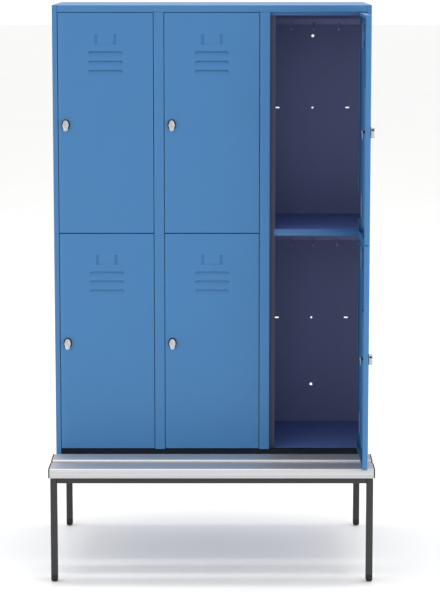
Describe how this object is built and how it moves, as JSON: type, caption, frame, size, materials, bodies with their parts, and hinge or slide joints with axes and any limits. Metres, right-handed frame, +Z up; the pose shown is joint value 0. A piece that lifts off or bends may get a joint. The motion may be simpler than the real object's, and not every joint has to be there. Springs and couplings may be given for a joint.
{
  "type": "school locker",
  "caption": "Steel school locker cabinet with hinged vented doors, turn locks and coat hooks, standing on a tube bench frame with a slatted seat in front.",
  "frame": {"origin": "on the floor under the middle of the object's box, with the right-hand doors standing open as in the picture", "axes": "+Z up, +X to the right seen from the front, +Y from the doors to the back"},
  "size_m": [1.2, 0.8396, 2.118],
  "materials": {
    "blue_paint": "light blue powder coat, satin",
    "slate_paint": "dark slate powder coat, satin",
    "black_paint": "black powder coat",
    "graphite_paint": "graphite grey powder coat on steel tube",
    "anodised_aluminium": "natural anodised extrusion, satin",
    "black_plastic": "moulded black plastic",
    "zinc": "bright zinc-plated, nickel-like"
  },
  "bodies": {
    "cabinet": {"front_frame": "blue_paint", "side_panel_left": "blue_paint", "side_panel_right": "blue_paint", "top_panel": "blue_paint", "partition_left": "slate_paint", "partition_right": "slate_paint", "back_panel": "slate_paint", "base_tray": "slate_paint", "shelf_left": "slate_paint", "shelf_middle": "slate_paint", "shelf_right": "slate_paint", "plinth_strip": "black_paint", "hinge_lower_left_bottom": "blue_paint", "hinge_lower_left_top": "blue_paint", "hinge_upper_left_bottom": "blue_paint", "hinge_upper_left_top": "blue_paint", "hinge_lower_middle_bottom": "blue_paint", "hinge_lower_middle_top": "blue_paint", "hinge_upper_middle_bottom": "blue_paint", "hinge_upper_middle_top": "blue_paint", "hinge_lower_right_bottom": "blue_paint", "hinge_lower_right_top": "blue_paint", "hinge_upper_right_bottom": "blue_paint", "hinge_upper_right_top": "blue_paint", "hook_rail_lower_left": "slate_paint", "hook_rail_upper_left": "slate_paint", "hook_rail_lower_middle": "slate_paint", "hook_rail_upper_middle": "slate_paint", "hook_rail_lower_right": "slate_paint", "hook_rail_upper_right": "slate_paint", "bench_frame": "graphite_paint", "foot_front_left": "black_plastic", "foot_front_right": "black_plastic", "foot_rear_left": "black_plastic", "foot_rear_right": "black_plastic", "seat_slat_front": "anodised_aluminium", "seat_slat_rear": "anodised_aluminium", "slat_cap_front_left": "black_plastic", "slat_cap_front_right": "black_plastic", "slat_cap_rear_left": "black_plastic", "slat_cap_rear_right": "black_plastic"},
    "door_lower_left": {"door_lower_left": "blue_paint", "lock_housing_lower_left": "black_plastic"},
    "lock_lower_left": {"lock_handle_lower_left": "zinc"},
    "door_upper_left": {"door_upper_left": "blue_paint", "lock_housing_upper_left": "black_plastic"},
    "lock_upper_left": {"lock_handle_upper_left": "zinc"},
    "door_lower_middle": {"door_lower_middle": "blue_paint", "lock_housing_lower_middle": "black_plastic"},
    "lock_lower_middle": {"lock_handle_lower_middle": "zinc"},
    "door_upper_middle": {"door_upper_middle": "blue_paint", "lock_housing_upper_middle": "black_plastic"},
    "lock_upper_middle": {"lock_handle_upper_middle": "zinc"},
    "door_lower_right": {"door_lower_right": "blue_paint", "lock_housing_lower_right": "black_plastic"},
    "lock_lower_right": {"lock_handle_lower_right": "zinc"},
    "door_upper_right": {"door_upper_right": "blue_paint", "lock_housing_upper_right": "black_plastic"},
    "lock_upper_right": {"lock_handle_upper_right": "zinc"}
  },
  "joints": [
    {"name": "door_lower_left_swing", "type": "hinge", "parent": "cabinet", "child": "door_lower_left", "pos_m": [-0.22913, -0.0747, 0.8485], "axis": [0, 0, 1], "range_deg": [0, 105]},
    {"name": "lock_lower_left_turn", "type": "hinge", "parent": "door_lower_left", "child": "lock_lower_left", "pos_m": [-0.54673, -0.0747, 0.8435], "axis": [0, 1, 0], "range_deg": [0, 90]},
    {"name": "door_upper_left_swing", "type": "hinge", "parent": "cabinet", "child": "door_upper_left", "pos_m": [-0.22913, -0.0747, 1.6775], "axis": [0, 0, 1], "range_deg": [0, 105]},
    {"name": "lock_upper_left_turn", "type": "hinge", "parent": "door_upper_left", "child": "lock_upper_left", "pos_m": [-0.54673, -0.0747, 1.6725], "axis": [0, 1, 0], "range_deg": [0, 90]},
    {"name": "door_lower_middle_swing", "type": "hinge", "parent": "cabinet", "child": "door_lower_middle", "pos_m": [0.16753, -0.0747, 0.8485], "axis": [0, 0, 1], "range_deg": [0, 105]},
    {"name": "lock_lower_middle_turn", "type": "hinge", "parent": "door_lower_middle", "child": "lock_lower_middle", "pos_m": [-0.15007, -0.0747, 0.8435], "axis": [0, 1, 0], "range_deg": [0, 90]},
    {"name": "door_upper_middle_swing", "type": "hinge", "parent": "cabinet", "child": "door_upper_middle", "pos_m": [0.16753, -0.0747, 1.6775], "axis": [0, 0, 1], "range_deg": [0, 105]},
    {"name": "lock_upper_middle_turn", "type": "hinge", "parent": "door_upper_middle", "child": "lock_upper_middle", "pos_m": [-0.15007, -0.0747, 1.6725], "axis": [0, 1, 0], "range_deg": [0, 90]},
    {"name": "door_lower_right_swing", "type": "hinge", "parent": "cabinet", "child": "door_lower_right", "pos_m": [0.5642, -0.0747, 0.8485], "axis": [0, 0, 1], "range_deg": [-90, 15]},
    {"name": "lock_lower_right_turn", "type": "hinge", "parent": "door_lower_right", "child": "lock_lower_right", "pos_m": [0.5642, -0.3923, 0.8435], "axis": [-1, 0, 0], "range_deg": [0, 90]},
    {"name": "door_upper_right_swing", "type": "hinge", "parent": "cabinet", "child": "door_upper_right", "pos_m": [0.5642, -0.0747, 1.6775], "axis": [0, 0, 1], "range_deg": [-90, 15]},
    {"name": "lock_upper_right_turn", "type": "hinge", "parent": "door_upper_right", "child": "lock_upper_right", "pos_m": [0.5642, -0.3923, 1.6725], "axis": [-1, 0, 0], "range_deg": [0, 90]}
  ]
}
